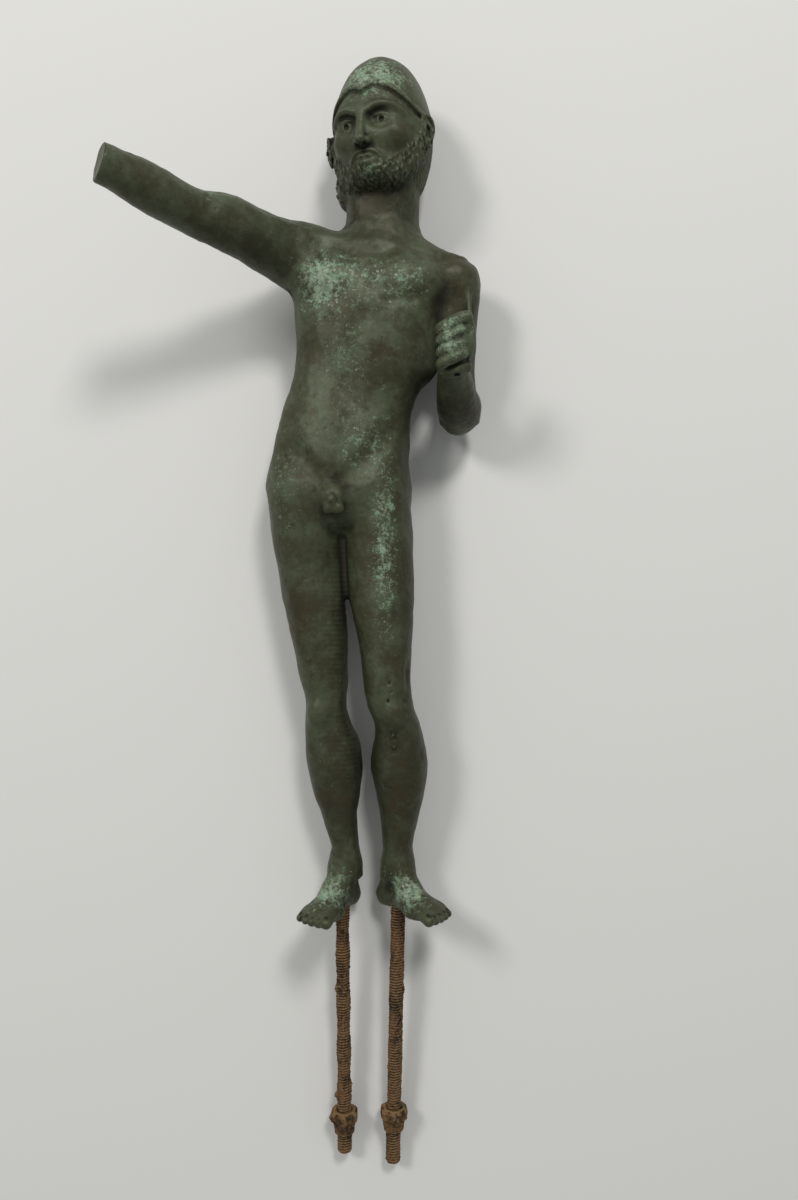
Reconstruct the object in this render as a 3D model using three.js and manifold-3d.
// A cast bronze statuette of a standing, bearded nude man, made to be bolted to a base
// by two rusted iron rods that come out of its soles. The right arm is broken off at the wrist.
// It can't stand without a base, so it lies on its back. Millimetres, +Z up: X runs to the figure's
// left, +Y towards its head and +Z out of its chest. The table is the plane z = 0.

import * as THREE from "three";
import { mergeVertices } from "three/addons/utils/BufferGeometryUtils.js";
import Module from "manifold-3d";

const wasm = await Module();
wasm.setup();

// Driving dimensions

const CELL = 0.95; // grid on which the bronze is sculpted
const BRONZE_TRIANGLES = 8400;
const BLOCK_CELLS = 6; // cells a side of the blocks that are tested before their cells are
const SOLE_Y = -108.3; // both soles were cast flat, to sit on a base
const FIT_GAP = 0.3; // clearance around what is screwed into or onto something

const ROD_RADIUS = 2.65; // an M6 rod, thinned by rust
const ROD_SIDES = 14;
const ROD_DEPTH_IN_FOOT = 9;
const NUT_LENGTH = 8.2;
const NUT_RADIUS = 5.3; // across the corners of an M6 nut, less what rust has eaten
const SIDES = { right: -1, left: 1 }; // the figure's own right is at low x

// Where the whole lies on the table, once it has come to rest on its back
const ORIGIN = new THREE.Vector3(-31.3, -9.07, -0.68);

const degrees = THREE.MathUtils.degToRad;
const V = (x, y, z) => new THREE.Vector3(x, y, z);

// The frame in which a head, hand or foot is modelled: a place and a turn
class Frame {
  constructor(place, turn = new THREE.Matrix4()) {
    this.place = place;
    this.e = turn.elements;
  }

  at(x, y, z) {
    const e = this.e;
    return V(
      e[0] * x + e[4] * y + e[8] * z,
      e[1] * x + e[5] * y + e[9] * z,
      e[2] * x + e[6] * y + e[10] * z,
    ).add(this.place);
  }
}

const BODY = new Frame(V(0, 0, 0));

// A frame whose x, y and z axes run as given in the body
function frameOf(place, xAxis, yAxis, zAxis) {
  return new Frame(place, new THREE.Matrix4().makeBasis(xAxis, yAxis, zAxis));
}

// Shapes. Each says how far a point is from its skin, below 0 inside, and holds a ball around itself

class Egg {
  constructor(frame, x, y, z, rx, ry = rx, rz = rx) {
    this.centre = frame.at(x, y, z);
    this.e = frame.e;
    this.radii = [rx, ry, rz];
    this.reach = Math.max(rx, ry, rz);
    this.least = Math.min(rx, ry, rz);
  }

  distance(x, y, z) {
    const e = this.e;
    const dx = x - this.centre.x;
    const dy = y - this.centre.y;
    const dz = z - this.centre.z;
    const u = (e[0] * dx + e[1] * dy + e[2] * dz) / this.radii[0];
    const v = (e[4] * dx + e[5] * dy + e[6] * dz) / this.radii[1];
    const w = (e[8] * dx + e[9] * dy + e[10] * dz) / this.radii[2];
    const share = Math.hypot(u, v, w);
    const slope = Math.hypot(u / this.radii[0], v / this.radii[1], w / this.radii[2]);
    return slope < 1e-6 ? -this.least : (share * (share - 1)) / slope;
  }
}

// A bone is a tapered rod with round ends
class Bone {
  constructor(a, b, ra, rb = ra) {
    this.a = a;
    this.run = b.clone().sub(a);
    this.length2 = Math.max(this.run.lengthSq(), 1e-9);
    this.ra = ra;
    this.rb = rb;
    this.centre = a.clone().add(b).multiplyScalar(0.5);
    this.reach = this.run.length() / 2 + Math.max(ra, rb);
  }

  distance(x, y, z) {
    const dx = x - this.a.x;
    const dy = y - this.a.y;
    const dz = z - this.a.z;
    const along = (dx * this.run.x + dy * this.run.y + dz * this.run.z) / this.length2;
    const t = Math.min(1, Math.max(0, along));
    const off = Math.hypot(dx - t * this.run.x, dy - t * this.run.y, dz - t * this.run.z);
    return off - (this.ra + (this.rb - this.ra) * t);
  }
}

// A loft is a run of oval sections along a frame's y axis.
// Each station is [y, centre x, centre z, half width, half depth].
class Loft {
  static STEPS = 160;

  constructor(frame, stations, squareness = 2) {
    this.frame = frame;
    this.power = squareness;
    const rows = [...stations].sort((p, q) => p[0] - q[0]);
    this.first = rows[0][0];
    this.last = rows.at(-1)[0];
    const steps = Loft.STEPS;
    this.table = [1, 2, 3, 4].map((column) => {
      const curve = smoothCurve(rows.map((row) => [row[0], row[column]]));
      return Float64Array.from({ length: steps + 1 }, (_, i) =>
        curve(this.first + ((this.last - this.first) * i) / steps),
      );
    });
    const widest = Math.max(...this.table[2], ...this.table[3]);
    const drift = Math.max(...this.table[0].map(Math.abs), ...this.table[1].map(Math.abs));
    const middle = steps / 2;
    this.centre = frame.at(
      this.table[0][middle],
      (this.first + this.last) / 2,
      this.table[1][middle],
    );
    this.reach = (this.last - this.first) / 2 + widest + (frame === BODY ? 12 : drift);
  }

  distance(x, y, z) {
    const { place, e } = this.frame;
    const dx = x - place.x;
    const dy = y - place.y;
    const dz = z - place.z;
    const along = e[4] * dx + e[5] * dy + e[6] * dz;
    const over = Math.max(this.first - along, along - this.last);
    const held = Math.min(this.last, Math.max(this.first, along));
    const step = ((held - this.first) / (this.last - this.first)) * Loft.STEPS;
    const i = Math.min(Loft.STEPS - 1, Math.floor(step));
    const [cx, cz, a, b] = this.table.map((t) => t[i] + (t[i + 1] - t[i]) * (step - i));
    const u = Math.abs(e[0] * dx + e[1] * dy + e[2] * dz - cx) / a;
    const w = Math.abs(e[8] * dx + e[9] * dy + e[10] * dz - cz) / b;
    const n = this.power;
    const share = (u ** n + w ** n) ** (1 / n);
    let side = -Math.min(a, b);
    if (share > 1e-4) {
      const slope = Math.hypot(u ** (n - 1) / a, w ** (n - 1) / b) * share ** (1 - n);
      side = Math.max(side, (share - 1) / slope);
    }
    if (over <= 0) return Math.max(side, over);
    return side > 0 ? Math.hypot(side, over) : over;
  }
}

// A smooth curve through [position, value] knots, which doesn't overshoot at its ends
function smoothCurve(knots) {
  const slopeAt = (i) => {
    const [before, after] = [knots[Math.max(0, i - 1)], knots[Math.min(knots.length - 1, i + 1)]];
    return (after[1] - before[1]) / (after[0] - before[0]);
  };
  return (s) => {
    let i = 0;
    while (i < knots.length - 2 && s > knots[i + 1][0]) i++;
    const [[s0, v0], [s1, v1]] = [knots[i], knots[i + 1]];
    const h = s1 - s0;
    const t = (s - s0) / h;
    const [t2, t3] = [t * t, t * t * t];
    const ends = (2 * t3 - 3 * t2 + 1) * v0 + (3 * t2 - 2 * t3) * v1;
    return ends + (t3 - 2 * t2 + t) * h * slopeAt(i) + (t3 - t2) * h * slopeAt(i + 1);
  };
}

// A sculpture is built up and cut down in order, as a wax is. Blend is the width of the soft join.
class Sculpture {
  constructor() {
    this.steps = [];
  }

  add(blend, ...shapes) {
    for (const shape of shapes) this.steps.push({ shape, blend, cut: false });
  }

  carve(blend, ...shapes) {
    for (const shape of shapes) this.steps.push({ shape, blend, cut: true });
  }

  // The steps that can matter within a given distance of a point
  near(x, y, z, room) {
    return this.steps.filter(({ shape, blend }) => {
      const c = shape.centre;
      return Math.hypot(x - c.x, y - c.y, z - c.z) < shape.reach + blend + room;
    });
  }

  static distance(steps, x, y, z) {
    let d = 1e3;
    for (const { shape, blend, cut } of steps) {
      const own = shape.distance(x, y, z);
      const [a, b] = cut ? [-d, own] : [d, own];
      const soft = Math.max(blend - Math.abs(a - b), 0) / blend;
      const joined = Math.min(a, b) - (soft * soft * blend) / 4;
      d = cut ? -joined : joined;
    }
    return d;
  }
}

// The trunk, from the crotch to the base of the neck, and the muscles that show on it

function modelTrunk(wax) {
  wax.add(
    1,
    new Loft(
      BODY,
      [
        [21, -20.6, 17, 6, 5],
        [26, -20.5, 16.4, 14, 9.5],
        [31, -20.6, 16, 20.5, 13.2],
        [38, -21.1, 16, 24.6, 16],
        [45, -20.9, 16.2, 24.3, 15.4],
        [52, -20, 16.7, 23.7, 14.3],
        [59, -19.1, 17.2, 22.9, 13.4],
        [66, -17.7, 17.6, 22.4, 12.9],
        [73, -15, 18, 22.7, 13.2],
        [76.5, -12.7, 18.2, 23.9, 13.6],
        [80, -11.6, 18.3, 24.3, 13.9],
        [89, -11.1, 18.2, 24.3, 15],
        [98, -11, 18, 25, 15.6],
        [107, -10.6, 17.6, 26, 15.4],
        [114, -9, 17, 25.5, 13.6],
        [120, -8, 16.5, 21, 11.5],
        [127, -6.6, 17, 14, 10.8],
      ],
      2.35,
    ),
  );
  // Shoulder girdle: the right one is raised with the outstretched arm
  wax.add(6, new Bone(V(-12, 118.4, 15.5), V(-31, 118.4, 20), 8, 9.2));
  wax.add(6, new Bone(V(-4, 122, 15), V(18, 111.5, 17.5), 7.5, 7.5));
  // Chest: two broad plates with a crisp lower edge
  wax.add(3, new Egg(BODY, -23.5, 109, 24, 13, 8.6, 9.6));
  wax.add(3, new Egg(BODY, 1.5, 108.5, 24, 14, 8.6, 9.6));
  wax.carve(2.5, new Bone(V(-31, 101, 33.5), V(-19, 99.4, 36.4), 1.5));
  wax.carve(2.5, new Bone(V(-4, 99.2, 36.4), V(11, 100.8, 33), 1.5));
  wax.carve(4, new Bone(V(-11, 114, 35), V(-11.5, 96, 36.6), 1.4));
  for (const outer of [V(-31, 123, 27), V(16, 117.5, 25)])
    wax.add(3.5, new Bone(V(-7.6, 120, 27), outer, 1.3, 1));
  // Belly: the arch under the ribs, the middle line and the navel
  wax.add(6, new Egg(BODY, -19.6, 56, 22, 14.5, 17, 9.6));
  wax.carve(5, new Bone(V(-11.6, 95, 37), V(-15.5, 70, 35.6), 1.6));
  wax.carve(4, new Bone(V(-15.5, 70, 35.4), V(-19, 48, 35.6), 1.2));
  wax.carve(2, new Egg(BODY, -17.8, 61, 33, 1.5, 1.9, 1.3));
  // Groins: a shallow V from the hip bones down to the crotch
  wax.carve(4, new Bone(V(-37, 50, 30.5), V(-25.5, 38.5, 34), 1.6));
  wax.carve(4, new Bone(V(-2.5, 55, 31), V(-19, 39, 34), 1.6));
  // Back: the spine, shoulder blades and buttocks
  wax.carve(7, new Bone(V(-9.5, 112, -1.2), V(-14, 74, 2), 1.8));
  wax.carve(6, new Bone(V(-14, 74, 2), V(-20, 50, 0.5), 1.8));
  wax.add(7, new Egg(BODY, -24, 103, 10, 10, 11, 7.2));
  wax.add(7, new Egg(BODY, 4, 102, 10, 10, 11, 7.2));
  wax.add(6, new Egg(BODY, -32, 37, 12.2, 11.4, 13, 11.2));
  wax.add(6, new Egg(BODY, -9, 37, 12.2, 11.4, 13, 11.2));
  wax.carve(2.5, new Bone(V(-20.4, 49, -0.4), V(-20.6, 25, 1.5), 1.6));
}

// A leg hangs from the trunk to the ankle; its stations are those of a loft in the body

const LEGS = {
  right: [
    [46, -32.6, 16.6, 9.6, 11],
    [37, -33.4, 16.2, 11.7, 14],
    [27.8, -32.8, 15.6, 12.1, 14.2],
    [14, -31.3, 15.6, 11.6, 12.4],
    [0, -29.5, 15.9, 10.7, 11.3],
    [-14, -27.6, 15.9, 9.6, 10.2],
    [-28, -26.1, 15.6, 8.1, 8.9],
    [-36.4, -25.4, 15.4, 7.2, 8.2],
    [-43.4, -24.8, 14.9, 8, 8.2],
    [-50.3, -23.8, 13.8, 9, 8.8],
    [-59, -22.7, 13.1, 9.3, 9.1],
    [-67.7, -21.8, 13, 8.1, 8],
    [-74.6, -21, 13.2, 6.5, 6.6],
    [-83.3, -19.5, 13.3, 5.1, 5.6],
    [-90, -18.6, 12.8, 4.7, 5.4],
    [-97, -18.2, 11.6, 5, 5.8],
  ],
  left: [
    [46, -9.6, 16.6, 9.6, 11],
    [37, -8.2, 16.2, 11.4, 14],
    [27.8, -7.2, 15.8, 11.8, 14.2],
    [14, -6.7, 16.6, 11.7, 12.4],
    [0, -6, 18, 11.3, 11.4],
    [-14, -4.7, 19.2, 9.3, 10.2],
    [-28, -4.1, 19.8, 8.2, 9],
    [-36.4, -3, 19.6, 7.9, 8.5],
    [-43.4, -0.6, 18.4, 7.9, 8.4],
    [-50.3, 0.2, 16.4, 9, 8.8],
    [-59, 0.3, 14.8, 9.6, 9.2],
    [-67.7, 0.3, 14.2, 8.4, 8.2],
    [-74.6, 0.2, 14, 6.9, 6.8],
    [-83.3, -0.3, 13.8, 5.6, 5.8],
    [-90, -0.6, 13.2, 4.8, 5.4],
    [-97, -0.8, 12, 5, 5.8],
  ],
};

// Middle of the knee cap and of the calf muscle, and which way the leg faces
const KNEES = {
  right: { cap: V(-27.5, -38.5, 21.6), shin: V(-25.6, -52, 19.8), calf: V(-20.8, -56, 9.6) },
  left: { cap: V(-1.6, -39, 26.2), shin: V(2.2, -52, 22), calf: V(-1.8, -56, 11) },
};

function modelLeg(wax, side) {
  wax.add(2.5, new Loft(BODY, LEGS[side], 2.15));
  const { cap, shin, calf } = KNEES[side];
  const ankle = FEET[side].ankle;
  wax.add(2.5, new Egg(BODY, cap.x, cap.y, cap.z, 3.6, 4.2, 2.6));
  wax.add(3, new Bone(shin, V(ankle.x, ankle.y + 10, ankle.z + 3.2), 1.7, 1.3));
  wax.add(5, new Egg(BODY, calf.x, calf.y, calf.z, 6.6, 11, 6.4));
}

// A foot points out from the heel. In its frame x is across, +y up to the ankle and +z to the toes.

const FEET = {
  right: { ankle: V(-19, -93, 12.4), heel: V(-18.6, SOLE_Y, 6.2), turn: -20 },
  left: { ankle: V(-0.3, -93, 12.6), heel: V(-3.4, SOLE_Y, 6.4), turn: 36 },
};
const FOOT_LENGTH = 34;
const HEEL_RADIUS = 4.4;

function footFrame(side) {
  const { heel, turn } = FEET[side];
  return new Frame(heel, new THREE.Matrix4().makeRotationY(degrees(turn)));
}

function modelFoot(wax, side) {
  const foot = footFrame(side);
  const inner = -SIDES[side]; // towards the other foot, along the foot's own x
  const toes = FOOT_LENGTH - HEEL_RADIUS;
  const instep = foot.at(inner * 0.6, 7.2, toes * 0.42);
  wax.add(4.5, new Bone(foot.at(0, 3.6, 0), FEET[side].ankle, 4.2, 4.2));
  wax.add(3.5, new Bone(foot.at(0, 3.2, 1), foot.at(0, 2.8, toes * 0.55), 4.2, 4.2));
  wax.add(4, new Bone(FEET[side].ankle, instep, 4.3, 3.8));
  wax.add(3.5, new Bone(instep, foot.at(0, 2.6, toes * 0.78), 3.9, 2.6));
  wax.add(3, new Egg(foot, inner * -0.4, 2, toes * 0.66, 7.2, 3.6, 6.8));
  wax.add(2, new Egg(foot, inner * -3.6, 10.8, toes * 0.16, 1.7, 2.2, 2));
  wax.add(2, new Egg(foot, inner * 3.6, 12.4, toes * 0.2, 1.7, 2.2, 2));
  for (let toe = 0; toe < 5; toe++) {
    const across = inner * (5 - toe * 2.85);
    const tip = toes - 0.26 * toe * toe;
    const radius = toe === 0 ? 2.2 : 1.72 - toe * 0.09;
    const root = foot.at(across * 0.84, radius + 1.3, toes * 0.66);
    wax.add(0.7, new Bone(root, foot.at(across, radius - 0.35, tip), radius + 0.2, radius));
  }
}

// The right arm reaches out sideways, up and forwards, and ends in the break at the wrist.
// In its frame +y runs from the shoulder to the wrist.

const RIGHT_SHOULDER = V(-33, 119.5, 20);
const RIGHT_WRIST = V(-88.5, 128.6, 68);
const BREAK = { place: V(-89.1, 129.8, 68), normal: V(-0.847, 0.198, 0.494), flatness: 60 };

function modelRightArm(wax) {
  const along = RIGHT_WRIST.clone().sub(RIGHT_SHOULDER);
  const length = along.length();
  along.normalize();
  const across = V(0, 0, 1).addScaledVector(along, -along.z).normalize();
  const arm = frameOf(RIGHT_SHOULDER, across.clone().cross(along).negate(), along, across);
  wax.add(
    6,
    new Loft(arm, [
      [-6, -2, 0, 10.2, 9.6],
      [4, -1.9, 0, 10.8, 9.8],
      [12, -2.1, 0, 10.1, 9.4],
      [20, -1.6, 0.2, 9.2, 8.9],
      [28, -0.9, 0.4, 9.1, 8.5],
      [35, -1, 0.2, 8.5, 7.8],
      [41, -1.6, 0, 7.5, 7.3],
      [46, -1.6, 0, 7.1, 7],
      [55, -0.6, 0.4, 7.3, 7.1],
      [64, 0.4, 0.2, 6.9, 6.5],
      [70, 0.9, 0, 6.2, 6],
      [length + 4, 1.3, 0, 5.8, 5.5],
    ]),
  );
}

// The break is nearly flat, and steeper than square across the wrist
function breakWrist(wax) {
  const { place, normal, flatness } = BREAK;
  const { x, y, z } = place.clone().addScaledVector(normal, flatness);
  wax.carve(0.4, new Egg(BODY, x, y, z, flatness));
}

// The left arm hangs, bends sharply at the elbow and brings the fist up in front of the chest

const LEFT_SHOULDER = V(20, 110, 17.5);
const LEFT_ELBOW = V(21.2, 64.8, 12);
const LEFT_WRIST = V(17.6, 76, 38.5);
const FIST = V(17.6, 83.4, 43.5);

function modelLeftArm(wax) {
  const upper = LEFT_ELBOW.clone().sub(LEFT_SHOULDER);
  const reach = upper.length();
  upper.normalize();
  const out = V(0, 0, 1).addScaledVector(upper, -upper.z).normalize();
  const arm = frameOf(LEFT_SHOULDER, upper.clone().cross(out), upper, out);
  wax.add(
    3.5,
    new Loft(arm, [
      [-7.2, 0, 0, 2.5, 3],
      [-4.5, 0, 0, 6.4, 7],
      [0, 0, 0, 8, 8.4],
      [8, 0.2, 0, 7.8, 8.4],
      [18, 0.2, 0, 6.8, 8],
      [30, 0, -0.2, 6, 7.4],
      [reach - 4, 0, 0, 6.2, 6.8],
      [reach + 2, 0, 0.6, 6.4, 6.2],
    ]),
  );
  const forearm = [V(20.9, 66, 17), V(19.8, 68.8, 25)];
  wax.add(3, new Bone(LEFT_ELBOW, forearm[0], 6.4, 7.4));
  wax.add(3, new Bone(...forearm, 7.4, 7));
  wax.add(3, new Bone(forearm[1], LEFT_WRIST, 7, 4.7));
}

// The fist is closed round a lost shaft that ran along the body. Fingers lie across it.

const FIST_HALF = { across: 4.6, along: 7.1, deep: 5 };
const GRIP_RADIUS = 1.25;
const FINGER_SLANT = 24;

function modelFist(wax) {
  const hand = new Frame(FIST);
  const { across, along, deep } = FIST_HALF;
  wax.add(2, new Bone(LEFT_WRIST, hand.at(0.6, -2, -2), 4.7, 5.2));
  wax.add(2, new Egg(hand, 0.8, 0, -1, across + 0.9, along + 0.8, deep + 0.8));
  const lean = Math.tan(degrees(FINGER_SLANT));
  for (let finger = 0; finger < 4; finger++) {
    const y = along - 2.1 - finger * 3.7;
    const radius = 2.15 - finger * 0.08;
    const knuckle = hand.at(across - 0.9, y + across * lean * 0.7, deep - 1.6);
    const joint = hand.at(-across + 0.6, y - across * lean * 0.7, deep - 2.2);
    const tip = hand.at(-across + 0.4, y - across * lean * 0.8, -1.4);
    wax.add(0.6, new Bone(knuckle, joint, radius, radius));
    wax.add(0.6, new Bone(joint, tip, radius, radius - 0.3));
  }
  wax.add(1, new Bone(hand.at(across, along - 4, deep - 4), hand.at(across - 0.6, along - 0.4, deep - 1.4), 1.9));
  wax.carve(0.4, new Bone(hand.at(0.9, -along - 5, 0.6), hand.at(0.9, along + 5, 0.6), GRIP_RADIUS));
}

// The head is turned to the figure's right and bowed a little. In its frame +y is up and +z forward.

const HEAD = new Frame(
  V(-6.2, 160, 19.6),
  new THREE.Matrix4()
    .makeRotationZ(degrees(3))
    .multiply(new THREE.Matrix4().makeRotationY(degrees(-20)))
    .multiply(new THREE.Matrix4().makeRotationX(degrees(9))),
);
const SKULL = { y: 1, z: -1.5, wide: 17, tall: 21, deep: 19 };
const BROW_Y = 3.4;
const EYE = { x: 6, y: 0.4, z: 13.4, wide: 3.4, tall: 2.5 };
const NOSE_BASE_Y = -7.4;
const MOUTH_Y = -11.6;

// A run of bones through points given in the head's frame, each with its own radius
function headStrand(wax, blend, points) {
  for (let i = 1; i < points.length; i++) {
    const [[ax, ay, az, ra], [bx, by, bz, rb]] = [points[i - 1], points[i]];
    wax.add(blend, new Bone(HEAD.at(ax, ay, az), HEAD.at(bx, by, bz), ra, rb));
  }
}

function modelNeck(wax) {
  wax.add(
    4,
    new Loft(BODY, [
      [114, -7.4, 16.2, 15, 10],
      [122, -6.6, 17, 14, 10.6],
      [129, -5.6, 18, 13.3, 11],
      [138, -5.4, 19.6, 13.1, 11.6],
      [152, -5.2, 21, 13, 12],
    ]),
  );
  // The cords of the neck, from behind the ears to the collar
  wax.add(3, new Bone(V(-17, 146, 21), V(-9.4, 121, 26), 2, 1.4));
  wax.add(3, new Bone(V(5.5, 146, 19), V(-5.6, 121, 26), 2, 1.4));
}

function modelHead(wax) {
  const { y, z, wide, tall, deep } = SKULL;
  wax.add(1, new Egg(HEAD, 0, y, z, wide, tall, deep));
  wax.add(5, new Egg(HEAD, 0, 12, -2.4, 10.4, 11.4, 12));
  wax.add(3, new Egg(HEAD, 0, -5.4, 4.6, 13, 15, 13));
  // Hair on the nape, and the lobes of it behind the ears
  wax.add(4, new Egg(HEAD, -1, -9, -8, 14.4, 14, 9.4));
  for (const s of [-1, 1]) {
    wax.add(3, new Egg(HEAD, s * 7.6, -3.8, 12, 4, 3.2, 3.6));
    wax.add(2.5, new Egg(HEAD, s * 11.6 - 1.8, -14.5, -4, 3.8, 6, 5));
  }
}

function modelEye(wax, s) {
  const { x, y, z, wide, tall } = EYE;
  wax.carve(1.8, new Egg(HEAD, s * x, y + 0.2, 18.4, 4.2, 2.7, 3.5));
  wax.add(0.5, new Egg(HEAD, s * x, y, z, wide, tall, 3));
  const corner = [s * (x - 3), y - 0.3, 15.9, 0.5];
  const outer = [s * (x + 3.3), y + 0.1, 14.1, 0.5];
  const upper = [
    [s * (x - 1.5), y + 2, 16.5, 0.65],
    [s * (x + 1.3), y + 2.2, 16.1, 0.65],
  ];
  const lower = [
    [s * (x - 1.2), y - 2, 16, 0.5],
    [s * (x + 1.5), y - 1.9, 15.4, 0.5],
  ];
  headStrand(wax, 0.4, [corner, ...upper, outer]);
  headStrand(wax, 0.4, [corner, ...lower, outer]);
  wax.carve(0.3, new Egg(HEAD, s * x, y, 16.5, 0.85, 0.85, 1.2));
}

function modelFace(wax) {
  for (const s of [-1, 1]) modelEye(wax, s);
  for (const s of [-1, 1])
    headStrand(wax, 1.2, [
      [s * 1.5, BROW_Y, 17.6, 1.2],
      [s * 5.8, BROW_Y + 1.2, 17.1, 1.1],
      [s * 10.4, BROW_Y - 0.4, 13.2, 0.8],
    ]);
  headStrand(wax, 1.1, [
    [0, BROW_Y - 0.4, 17.1, 1.3],
    [0, NOSE_BASE_Y + 1.8, 20.4, 1.8],
  ]);
  wax.add(0.8, new Egg(HEAD, 0, NOSE_BASE_Y + 1.3, 20.4, 1.7, 1.5, 1.7));
  for (const s of [-1, 1]) {
    wax.add(0.6, new Egg(HEAD, s * 2, NOSE_BASE_Y + 0.9, 18.6, 1.35, 1.25, 1.7));
    wax.carve(0.4, new Egg(HEAD, s * 1.1, NOSE_BASE_Y - 0.1, 19.8, 0.55, 0.5, 0.8));
  }
}

// A full, short beard runs along the jaw from ear to ear, with a drooping moustache
function modelBeard(wax) {
  wax.add(2, new Egg(HEAD, 0, -16, 8.4, 10.6, 8.4, 9.6));
  for (const s of [-1, 1]) {
    headStrand(wax, 2, [
      [s * 14.6, -2, 1.6, 2.2],
      [s * 12.6, -9, 4.6, 4],
      [s * 9, -15.4, 8, 5],
    ]);
    headStrand(wax, 0.6, [
      [s * 0.6, MOUTH_Y + 2.7, 17.6, 1],
      [s * 3.8, MOUTH_Y + 1.9, 16.9, 1.15],
      [s * 6.8, MOUTH_Y - 2.6, 15.2, 0.8],
    ]);
    headStrand(wax, 0.5, [
      [0, MOUTH_Y + 0.9, 18, 0.8],
      [s * 3.3, MOUTH_Y + 0.1, 16.7, 0.45],
    ]);
  }
  headStrand(wax, 0.6, [
    [-1.5, MOUTH_Y - 1.3, 17.6, 0.95],
    [1.5, MOUTH_Y - 1.3, 17.6, 0.95],
  ]);
  wax.carve(0.4, new Bone(HEAD.at(-2.8, MOUTH_Y, 18.6), HEAD.at(2.8, MOUTH_Y, 18.6), 0.4));
}

// Hair lies as a smooth cap, with a rolled, wavy rim across the forehead and down to the ears
const RIM = { pieces: 18, top: 12.6, drop: 12, wave: 0.5, waves: 9, radius: 1.25, end: 86 };

function modelHair(wax) {
  const end = degrees(RIM.end);
  const strand = Array.from({ length: RIM.pieces + 1 }, (_, i) => {
    const turn = end * ((2 * i) / RIM.pieces - 1);
    const y = RIM.top - RIM.drop * Math.abs(Math.sin(turn)) ** 3 + RIM.wave * Math.sin(RIM.waves * turn);
    const wide = Math.sqrt(1 - ((y - SKULL.y) / SKULL.tall) ** 2);
    const out = SKULL.deep * wide * Math.cos(turn);
    return [SKULL.wide * wide * Math.sin(turn), y, SKULL.z + out, RIM.radius];
  });
  headStrand(wax, 1, strand);
  for (const s of [-1, 1]) {
    wax.add(1, new Egg(HEAD, s * 17.3, -2, -1.6, 1.7, 4.6, 2.8));
    wax.carve(0.6, new Egg(HEAD, s * 19, -1.6, -1, 0.9, 2.6, 1.3));
  }
}

function modelSex(wax) {
  wax.add(2, new Egg(BODY, -22.2, 34.5, 30.6, 4.2, 4.2, 3.2));
  wax.add(1, new Egg(BODY, -23.2, 30.6, 32.4, 2.1, 2.3, 2.2));
  wax.add(1, new Egg(BODY, -20.4, 30.6, 32.4, 2.1, 2.3, 2.2));
  wax.add(0.8, new Bone(V(-22.1, 34.6, 33.4), V(-22.6, 30.8, 35.6), 1.6, 1.4));
}

// A gouge on the outside of the left thigh, and the rough tip of the left elbow
function modelDamage(wax) {
  wax.carve(0.8, new Egg(BODY, 6.6, -3.6, 19.5, 2.2, 2.6, 3.4));
  wax.carve(0.8, new Egg(BODY, 24.6, 57.6, 11, 5, 2.2, 5));
}

function sculptBronze() {
  const wax = new Sculpture();
  modelTrunk(wax);
  for (const side of Object.keys(SIDES)) {
    modelLeg(wax, side);
    modelFoot(wax, side);
  }
  // The thighs touch down to the middle of their length
  wax.add(2.5, new Bone(V(-21.2, 29, 16.5), V(-18.4, 2.5, 17), 3, 1.2));
  modelSex(wax);
  modelNeck(wax);
  modelRightArm(wax);
  breakWrist(wax);
  modelLeftArm(wax);
  modelFist(wax);
  modelHead(wax);
  modelFace(wax);
  modelBeard(wax);
  modelHair(wax);
  modelDamage(wax);
  return wax;
}

// Skin: the sculpture is sampled on a grid, and each cell that its skin crosses gets a point

function sampleGrid(wax, low, high, cell) {
  const size = ["x", "y", "z"].map((k) => Math.ceil((high[k] - low[k]) / cell) + 1);
  const [nx, ny, nz] = size;
  const far = 50;
  const values = new Float32Array(nx * ny * nz).fill(far);
  const half = (BLOCK_CELLS * cell) / 2;
  const room = half * Math.sqrt(3) + cell;
  for (let k0 = 0; k0 < nz; k0 += BLOCK_CELLS)
    for (let j0 = 0; j0 < ny; j0 += BLOCK_CELLS)
      for (let i0 = 0; i0 < nx; i0 += BLOCK_CELLS) {
        const mx = low.x + i0 * cell + half;
        const my = low.y + j0 * cell + half;
        const mz = low.z + k0 * cell + half;
        const steps = wax.near(mx, my, mz, room);
        if (!steps.length) continue;
        const top = Math.min(nz, k0 + BLOCK_CELLS);
        for (let k = k0; k < top; k++)
          for (let j = j0; j < Math.min(ny, j0 + BLOCK_CELLS); j++)
            for (let i = i0; i < Math.min(nx, i0 + BLOCK_CELLS); i++)
              values[i + nx * (j + ny * k)] = Sculpture.distance(
                steps,
                low.x + i * cell,
                low.y + j * cell,
                low.z + k * cell,
              );
      }
  return { values, size, low, cell };
}

// Where two solid corners of a grid square touch only across its diagonal, a third is filled,
// so that the skin never meets itself along an edge
function fillDiagonals({ values, size: [nx, ny, nz] }) {
  const strides = [1, nx, nx * ny];
  const counts = [nx, ny, nz];
  for (let again = true, round = 0; again && round < 8; round++) {
    again = false;
    for (let axis = 0; axis < 3; axis++) {
      const [p, q] = [strides[(axis + 1) % 3], strides[(axis + 2) % 3]];
      for (let k = 0; k < nz; k++)
        for (let j = 0; j < ny; j++)
          for (let i = 0; i < nx; i++) {
            const place = [i, j, k];
            if (place[(axis + 1) % 3] + 1 >= counts[(axis + 1) % 3]) continue;
            if (place[(axis + 2) % 3] + 1 >= counts[(axis + 2) % 3]) continue;
            const at = i + nx * (j + ny * k);
            const [a, b] = [values[at] < 0, values[at + p] < 0];
            const [c, d] = [values[at + q] < 0, values[at + p + q] < 0];
            if (a !== d || b !== c || a === b) continue;
            values[a ? at + p : at] = -0.05;
            again = true;
          }
    }
  }
}

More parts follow.
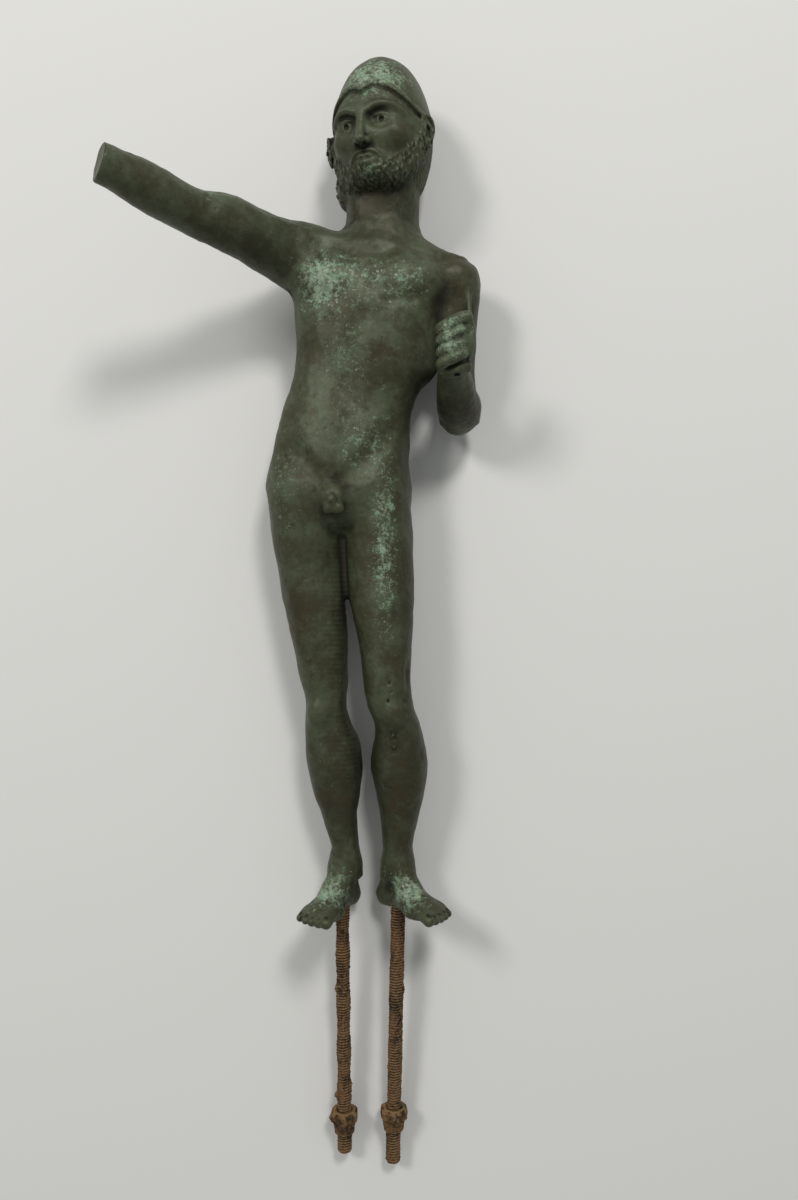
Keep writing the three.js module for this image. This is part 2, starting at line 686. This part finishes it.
function skin(grid) {
  fillDiagonals(grid);
  const { values, size, low, cell } = grid;
  const [nx, ny, nz] = size;
  const strides = [1, nx, nx * ny];
  const pointOf = new Int32Array(values.length).fill(-1);
  const points = [];
  const corners = [0, 1, 2, 3, 4, 5, 6, 7].map((n) => [n & 1, (n >> 1) & 1, n >> 2]);
  for (let k = 0; k < nz - 1; k++)
    for (let j = 0; j < ny - 1; j++)
      for (let i = 0; i < nx - 1; i++) {
        const at = i + nx * (j + ny * k);
        const v = corners.map(([a, b, c]) => values[at + a + b * strides[1] + c * strides[2]]);
        const inside = v.filter((x) => x < 0).length;
        if (inside === 0 || inside === 8) continue;
        const sum = [0, 0, 0];
        let crossings = 0;
        for (let a = 0; a < 8; a++)
          for (const bit of [1, 2, 4]) {
            const b = a | bit;
            if (b === a || v[a] < 0 === v[b] < 0) continue;
            const t = v[a] / (v[a] - v[b]);
            for (let n = 0; n < 3; n++)
              sum[n] += corners[a][n] + (corners[b][n] - corners[a][n]) * t;
            crossings++;
          }
        pointOf[at] = points.length / 3;
        const place = [i, j, k];
        for (let n = 0; n < 3; n++)
          points.push(low.getComponent(n) + (place[n] + sum[n] / crossings) * cell);
      }
  const faces = [];
  for (let k = 1; k < nz - 1; k++)
    for (let j = 1; j < ny - 1; j++)
      for (let i = 1; i < nx - 1; i++) {
        const at = i + nx * (j + ny * k);
        for (let axis = 0; axis < 3; axis++) {
          const solid = values[at] < 0;
          if (solid === values[at + strides[axis]] < 0) continue;
          const [p, q] = [strides[(axis + 1) % 3], strides[(axis + 2) % 3]];
          const ring = [at - p - q, at - q, at, at - p].map((n) => pointOf[n]);
          if (!solid) ring.reverse();
          faces.push(ring[0], ring[1], ring[2], ring[0], ring[2], ring[3]);
        }
      }
  return { points: Float64Array.from(points), faces: Int32Array.from(faces) };
}

// Fewer faces: the edge whose loss moves the skin least is closed up, again and again.
// Each point holds the squared distance to the planes of its faces as a quadric of ten numbers.

class Thinner {
  constructor({ points, faces }, detail) {
    this.points = points;
    this.faces = faces;
    this.left = faces.length / 3;
    this.around = Array.from({ length: points.length / 3 }, () => []);
    this.age = new Int32Array(points.length / 3);
    this.quadrics = new Float64Array((points.length / 3) * 10);
    for (let f = 0; f < this.left; f++) {
      const corners = this.corners(f);
      const plane = this.plane(...corners.map((c) => this.point(c)));
      for (const c of corners) {
        this.around[c].push(f);
        this.addPlane(c, plane, detail(...this.point(c)));
      }
    }
    this.heap = [];
    for (let a = 0; a < this.around.length; a++)
      for (const b of this.neighbours(a)) if (a < b) this.offer(a, b);
  }

  corners(f) {
    return [this.faces[3 * f], this.faces[3 * f + 1], this.faces[3 * f + 2]];
  }

  point(i) {
    return [this.points[3 * i], this.points[3 * i + 1], this.points[3 * i + 2]];
  }

  // [nx, ny, nz, offset, area] of the plane through three points
  plane([ax, ay, az], [bx, by, bz], [cx, cy, cz]) {
    const [ux, uy, uz] = [bx - ax, by - ay, bz - az];
    const [vx, vy, vz] = [cx - ax, cy - ay, cz - az];
    const n = [uy * vz - uz * vy, uz * vx - ux * vz, ux * vy - uy * vx];
    const size = Math.hypot(...n) || 1e-12;
    const [x, y, z] = n.map((value) => value / size);
    return [x, y, z, -(x * ax + y * ay + z * az), size / 2];
  }

  addPlane(c, [x, y, z, w, area], weight) {
    const all = [x * x, x * y, x * z, x * w, y * y, y * z, y * w, z * z, z * w, w * w];
    all.forEach((value, n) => (this.quadrics[10 * c + n] += value * area * weight));
  }

  neighbours(a) {
    const found = new Set();
    for (const f of this.around[a]) for (const c of this.corners(f)) if (c !== a) found.add(c);
    return found;
  }

  // The point with the least error on the merged quadric, and that error
  best(a, b) {
    const q = new Float64Array(10);
    for (let n = 0; n < 10; n++) q[n] = this.quadrics[10 * a + n] + this.quadrics[10 * b + n];
    const error = (x, y, z) =>
      q[0] * x * x + q[4] * y * y + q[7] * z * z + q[9] +
      2 * (q[1] * x * y + q[2] * x * z + q[3] * x + q[5] * y * z + q[6] * y + q[8] * z);
    const [p, r] = [this.point(a), this.point(b)];
    const middle = p.map((value, n) => (value + r[n]) / 2);
    const choices = [middle, p, r];
    const [A, B, C, D, E, F] = [q[0], q[1], q[2], q[4], q[5], q[7]];
    const minor = [D * F - E * E, C * E - B * F, B * E - C * D];
    const det = A * minor[0] + B * minor[1] + C * minor[2];
    if (Math.abs(det) > 1e-4 * Math.abs(A * D * F + 1e-9)) {
      const [g, h, i] = [-q[3], -q[6], -q[8]];
      const solved = [
        (minor[0] * g + minor[1] * h + minor[2] * i) / det,
        (minor[1] * g + (A * F - C * C) * h + (B * C - A * E) * i) / det,
        (minor[2] * g + (B * C - A * E) * h + (A * D - B * B) * i) / det,
      ];
      const span = Math.hypot(...p.map((value, n) => value - r[n]));
      if (Math.hypot(...solved.map((value, n) => value - middle[n])) < span) choices.push(solved);
    }
    const ranked = choices.map((place) => [error(...place), place]);
    const [least, place] = ranked.reduce((x, y) => (y[0] < x[0] ? y : x));
    const span2 = p.reduce((sum, value, n) => sum + (value - r[n]) ** 2, 0);
    return [least + 1e-5 * span2, place];
  }

  offer(a, b) {
    const [cost, place] = this.best(a, b);
    const entry = { cost, a, b, place, age: this.age[a] + this.age[b] };
    const heap = this.heap;
    let i = heap.push(entry) - 1;
    while (i > 0) {
      const up = (i - 1) >> 1;
      if (heap[up].cost <= cost) break;
      heap[i] = heap[up];
      i = up;
    }
    heap[i] = entry;
  }

  take() {
    const heap = this.heap;
    const top = heap[0];
    const last = heap.pop();
    if (heap.length) {
      let i = 0;
      for (;;) {
        let down = 2 * i + 1;
        if (down >= heap.length) break;
        if (down + 1 < heap.length && heap[down + 1].cost < heap[down].cost) down++;
        if (heap[down].cost >= last.cost) break;
        heap[i] = heap[down];
        i = down;
      }
      heap[i] = last;
    }
    return top;
  }

  // Closing the edge is refused where it would pinch the skin or fold a face over
  allowed(a, b, place) {
    const [na, nb] = [this.neighbours(a), this.neighbours(b)];
    let shared = 0;
    for (const n of na) if (nb.has(n)) shared++;
    if (shared !== 2) return false;
    for (const [from, other] of [[a, b], [b, a]])
      for (const f of this.around[from]) {
        const corners = this.corners(f);
        if (corners.includes(other)) continue;
        const old = this.plane(...corners.map((c) => this.point(c)));
        const moved = this.plane(...corners.map((c) => (c === from ? place : this.point(c))));
        if (old[0] * moved[0] + old[1] * moved[1] + old[2] * moved[2] < 0.35) return false;
        if (moved[4] < 0.02) return false;
      }
    return true;
  }

  close({ a, b, place }) {
    place.forEach((value, n) => (this.points[3 * a + n] = value));
    for (let n = 0; n < 10; n++) this.quadrics[10 * a + n] += this.quadrics[10 * b + n];
    for (const f of this.around[b]) {
      const corners = this.corners(f);
      if (corners.includes(a)) {
        for (const c of corners)
          if (c !== b) this.around[c] = this.around[c].filter((other) => other !== f);
        this.faces[3 * f] = -1;
        this.left--;
      } else {
        this.faces[3 * f + corners.indexOf(b)] = a;
        this.around[a].push(f);
      }
    }
    this.around[b] = [];
    this.age[b] = -1e9;
    this.age[a] += 1;
    for (const n of this.neighbours(a)) {
      this.age[n] += 1;
      for (const m of this.neighbours(n)) if (m === a || n < m) this.offer(n, m);
    }
  }

  thinTo(count) {
    while (this.left > count && this.heap.length) {
      const entry = this.take();
      if (this.age[entry.a] + this.age[entry.b] !== entry.age) continue;
      if (this.allowed(entry.a, entry.b, entry.place)) this.close(entry);
    }
    const kept = [];
    for (let f = 0; f < this.faces.length / 3; f++)
      if (this.faces[3 * f] >= 0) kept.push(...this.corners(f));
    return kept;
  }
}

// How much more a stray of the skin counts where the modelling is fine
function detailAt(x, y, z) {
  if (Math.hypot(x - HEAD.place.x + 6, y - HEAD.place.y + 2, z - HEAD.place.z - 12) < 21) return 8;
  if (Math.hypot(x - FIST.x, y - FIST.y, z - FIST.z) < 11) return 6;
  if (y < -98 && z > 18) return 4;
  return 1;
}

// Solids

function manifoldOf(geometry) {
  const bare = geometry.clone();
  bare.deleteAttribute("normal");
  bare.deleteAttribute("uv");
  const merged = mergeVertices(bare, 1e-4);
  return new wasm.Manifold(
    new wasm.Mesh({
      numProp: 3,
      vertProperties: Float32Array.from(merged.attributes.position.array),
      triVerts: Uint32Array.from(merged.index.array),
    }),
  );
}

function geometryOf(solid) {
  const { vertProperties, triVerts, numProp } = solid.getMesh();
  const count = vertProperties.length / numProp;
  const position = new Float32Array(count * 3);
  for (let i = 0; i < count; i++)
    position.set(vertProperties.subarray(i * numProp, i * numProp + 3), i * 3);
  const geometry = new THREE.BufferGeometry();
  geometry.setAttribute("position", new THREE.BufferAttribute(position, 3));
  geometry.setIndex(new THREE.BufferAttribute(triVerts, 1));
  geometry.computeVertexNormals();
  return geometry;
}

function bronzeSolid() {
  const wax = sculptBronze();
  const grid = sampleGrid(wax, V(-98, -112, -4), V(33, 191, 80), CELL);
  const thinner = new Thinner(skin(grid), detailAt);
  const faces = thinner.thinTo(BRONZE_TRIANGLES);
  const geometry = new THREE.BufferGeometry();
  geometry.setAttribute("position", new THREE.BufferAttribute(Float32Array.from(thinner.points), 3));
  geometry.setIndex(faces);
  return manifoldOf(geometry);
}

// A rod runs from inside the foot to its free end. Its frame has +y along it, out of the foot.

const RODS = {
  right: { start: V(-19.9, SOLE_Y, 13), end: V(-19.5, -198.2, 4.9), nutFrom: 74.5 },
  left: { start: V(-0.3, SOLE_Y, 13), end: V(-2.2, -202.2, 4.5), nutFrom: 73.5 },
};

function rodFrame(side) {
  const { start, end } = RODS[side];
  const along = end.clone().sub(start);
  const length = along.length();
  along.normalize();
  const up = V(0, 0, 1).addScaledVector(along, -along.z).normalize();
  const turn = new THREE.Matrix4().makeBasis(along.clone().cross(up), along, up);
  return { turn: turn.setPosition(start), length };
}

function turned(profile, sides) {
  const closed = [[0, profile[0][1]], ...profile, [0, profile.at(-1)[1]]];
  return new THREE.LatheGeometry(closed.map(([r, y]) => new THREE.Vector2(r, y)), sides);
}

// Rust has eaten waists into the right rod and left the other nearly even
const RUST = { right: { depth: 0.42, waves: 5.2 }, left: { depth: 0.16, waves: 3.4 } };

function rodSolid(side) {
  const { turn, length } = rodFrame(side);
  const { depth, waves } = RUST[side];
  const rings = 12;
  const profile = [[ROD_RADIUS, -ROD_DEPTH_IN_FOOT]];
  for (let i = 0; i <= rings; i++) {
    const share = i / rings;
    const eaten = depth * Math.sin(share * waves * Math.PI) ** 2 * (1 - share ** 6);
    profile.push([ROD_RADIUS - eaten, 1 + share * (length - 2)]);
  }
  profile.push([ROD_RADIUS - 0.7, length]);
  return manifoldOf(turned(profile, ROD_SIDES).applyMatrix4(turn));
}

function nutSolid(side) {
  const { turn } = rodFrame(side);
  const from = RODS[side].nutFrom;
  const flange = NUT_LENGTH * 0.42; // the part that still has its corners
  const body = [
    [NUT_RADIUS - 0.9, from],
    [NUT_RADIUS, from + 1],
    [NUT_RADIUS, from + flange],
    [ROD_RADIUS + 1, from + NUT_LENGTH],
  ];
  const nut = manifoldOf(turned(body, 6).applyMatrix4(turn));
  const hole = [
    [ROD_RADIUS + FIT_GAP, from - 1],
    [ROD_RADIUS + FIT_GAP, from + NUT_LENGTH + 1],
  ];
  return nut.subtract(manifoldOf(turned(hole, ROD_SIDES).applyMatrix4(turn)));
}

function drilled(bronze) {
  let solid = bronze;
  for (const side of Object.keys(SIDES)) {
    const { turn } = rodFrame(side);
    const depth = ROD_DEPTH_IN_FOOT + FIT_GAP;
    const bore = [
      [ROD_RADIUS + FIT_GAP, -depth],
      [ROD_RADIUS + FIT_GAP, 6],
    ];
    solid = solid.subtract(manifoldOf(turned(bore, ROD_SIDES).applyMatrix4(turn)));
  }
  const below = new THREE.BoxGeometry(200, 40, 200);
  return solid.subtract(manifoldOf(below.translate(0, SOLE_Y - 20, 0)));
}

const bronzePatina = new THREE.MeshStandardMaterial({
  color: 0x3f4a38,
  roughness: 0.55,
  metalness: 0.6,
});
const rustedIron = new THREE.MeshStandardMaterial({
  color: 0x5a3f28,
  roughness: 0.9,
  metalness: 0.2,
});

function piece(name, solid, material) {
  const mesh = new THREE.Mesh(geometryOf(solid), material);
  mesh.name = name;
  return mesh;
}

const statuette = new THREE.Group();
statuette.add(piece("bronze_figure", drilled(bronzeSolid()), bronzePatina));
for (const side of Object.keys(SIDES)) {
  statuette.add(piece(`${side}_threaded_rod`, rodSolid(side), rustedIron));
  statuette.add(piece(`${side}_nut`, nutSolid(side), rustedIron));
}
statuette.position.copy(ORIGIN).negate();

export default statuette;
